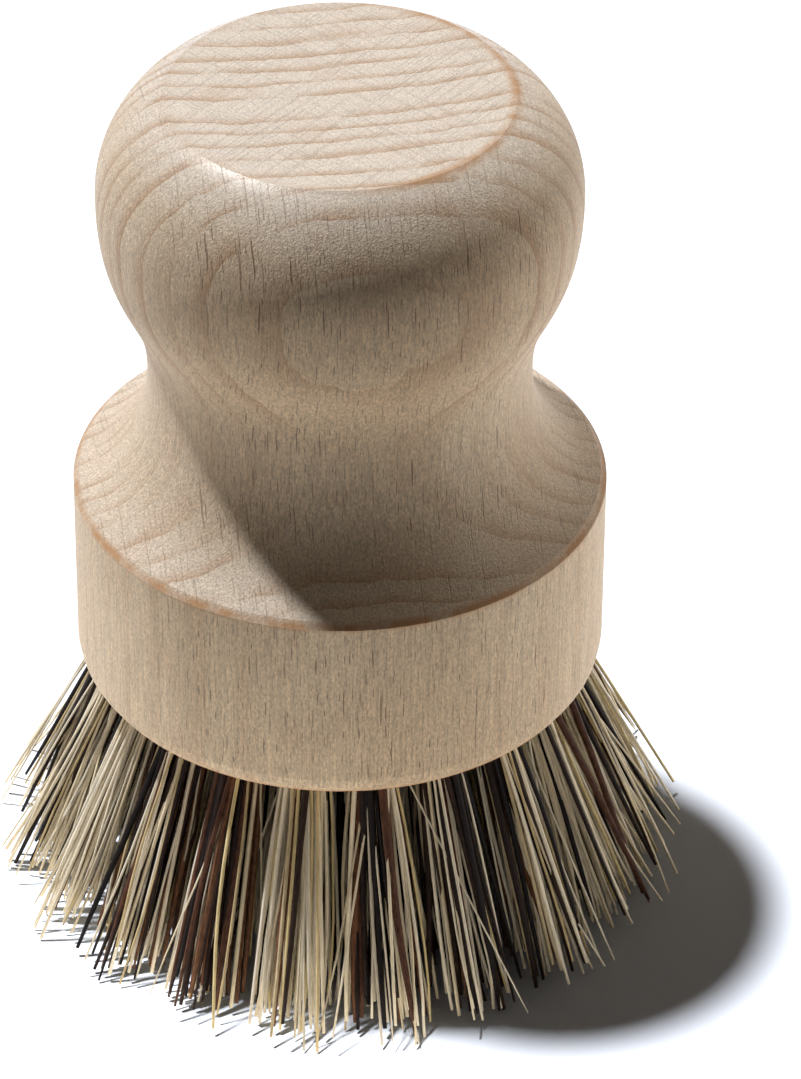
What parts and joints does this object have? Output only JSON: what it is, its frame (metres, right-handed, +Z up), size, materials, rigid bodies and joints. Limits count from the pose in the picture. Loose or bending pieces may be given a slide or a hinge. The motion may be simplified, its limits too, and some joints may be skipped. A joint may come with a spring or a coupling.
{
  "type": "palm brush",
  "caption": "Palm-held scrubbing brush: turned wooden knob and block with bundles of stiff plant fibre stapled into its fanned underside.",
  "frame": {"origin": "on the turning axis, at the level of the trimmed bristle tips on which the brush stands", "axes": "+Z up along the turning axis, from the bristle tips to the flat of the knob; +X and +Y lie across and are alike, because the block is round"},
  "size_m": [0.0769, 0.0785, 0.1015],
  "materials": {
    "beech": "untreated, finely sanded",
    "plant_fibre": "stiff mixed plant fibre, matt",
    "staple_wire": "plain drawn wire"
  },
  "bodies": {
    "root": {"handle_block": "beech", "tuft_centre_01": "plant_fibre", "tuft_inner_01": "plant_fibre", "tuft_inner_02": "plant_fibre", "tuft_inner_03": "plant_fibre", "tuft_inner_04": "plant_fibre", "tuft_inner_05": "plant_fibre", "tuft_inner_06": "plant_fibre", "tuft_middle_01": "plant_fibre", "tuft_middle_02": "plant_fibre", "tuft_middle_03": "plant_fibre", "tuft_middle_04": "plant_fibre", "tuft_middle_05": "plant_fibre", "tuft_middle_06": "plant_fibre", "tuft_middle_07": "plant_fibre", "tuft_middle_08": "plant_fibre", "tuft_middle_09": "plant_fibre", "tuft_middle_10": "plant_fibre", "tuft_middle_11": "plant_fibre", "tuft_middle_12": "plant_fibre", "tuft_outer_01": "plant_fibre", "tuft_outer_02": "plant_fibre", "tuft_outer_03": "plant_fibre", "tuft_outer_04": "plant_fibre", "tuft_outer_05": "plant_fibre", "tuft_outer_06": "plant_fibre", "tuft_outer_07": "plant_fibre", "tuft_outer_08": "plant_fibre", "tuft_outer_09": "plant_fibre", "tuft_outer_10": "plant_fibre", "tuft_outer_11": "plant_fibre", "tuft_outer_12": "plant_fibre", "tuft_outer_13": "plant_fibre", "tuft_outer_14": "plant_fibre", "tuft_outer_15": "plant_fibre", "tuft_outer_16": "plant_fibre", "tuft_outer_17": "plant_fibre", "tuft_outer_18": "plant_fibre", "tuft_outer_19": "plant_fibre", "tuft_outer_20": "plant_fibre", "staples_centre": "staple_wire", "staples_inner": "staple_wire", "staples_middle": "staple_wire", "staples_outer": "staple_wire"}
  },
  "joints": []
}
